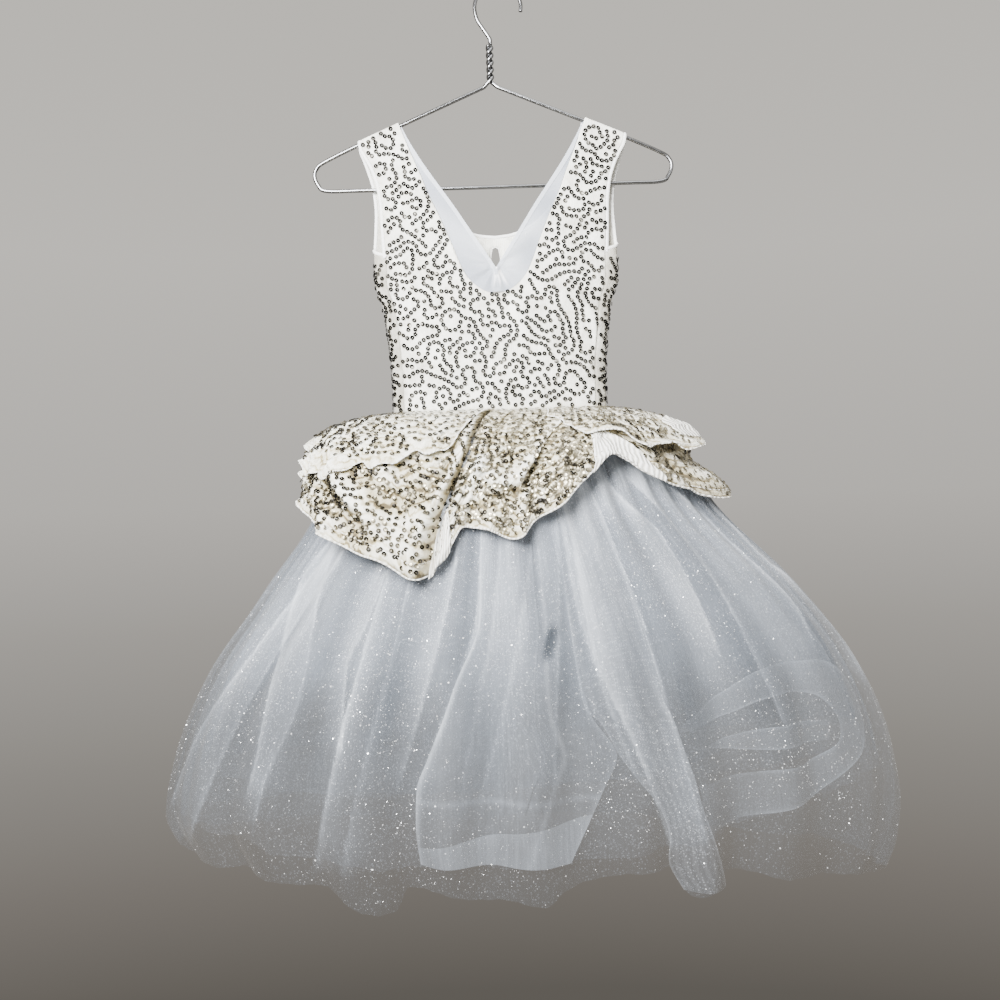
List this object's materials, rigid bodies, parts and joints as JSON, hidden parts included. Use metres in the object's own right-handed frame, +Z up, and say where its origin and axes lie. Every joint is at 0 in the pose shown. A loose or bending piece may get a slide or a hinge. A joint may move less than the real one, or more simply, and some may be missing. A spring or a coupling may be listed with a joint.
{
  "type": "ballet tutu on wire hanger",
  "caption": "Long ballet tutu with sequined bodice, mesh neck insert, gathered peplum and layered tulle skirt, hung on a bent wire hanger.",
  "frame": {"origin": "inside top of the hanger's hook, where the support carries it", "axes": "+Z up, -Y out of the front of the dress, +X to the viewer's right"},
  "size_m": [0.8343, 0.2974, 1.0418],
  "materials": {
    "sequin_knit": "satin",
    "smooth_mesh": "matte",
    "piping": "matte",
    "glitter_tulle": "matte",
    "plain_tulle": "matte",
    "wire": "polished"
  },
  "bodies": {
    "root": {"bodice_front": "sequin_knit", "bodice_back": "sequin_knit", "peplum_front": "sequin_knit", "peplum_back": "sequin_knit", "neck_insert": "smooth_mesh", "armhole_binding_left": "piping", "armhole_binding_right": "piping", "back_neck_binding": "piping", "keyhole_binding": "piping", "skirt_top_layer_front": "glitter_tulle", "skirt_top_layer_back": "glitter_tulle", "skirt_middle_layer_front": "glitter_tulle", "skirt_middle_layer_back": "glitter_tulle", "skirt_under_layer_front": "plain_tulle", "skirt_under_layer_back": "plain_tulle", "skirt_front_drape": "plain_tulle", "hanger": "wire"}
  },
  "joints": []
}
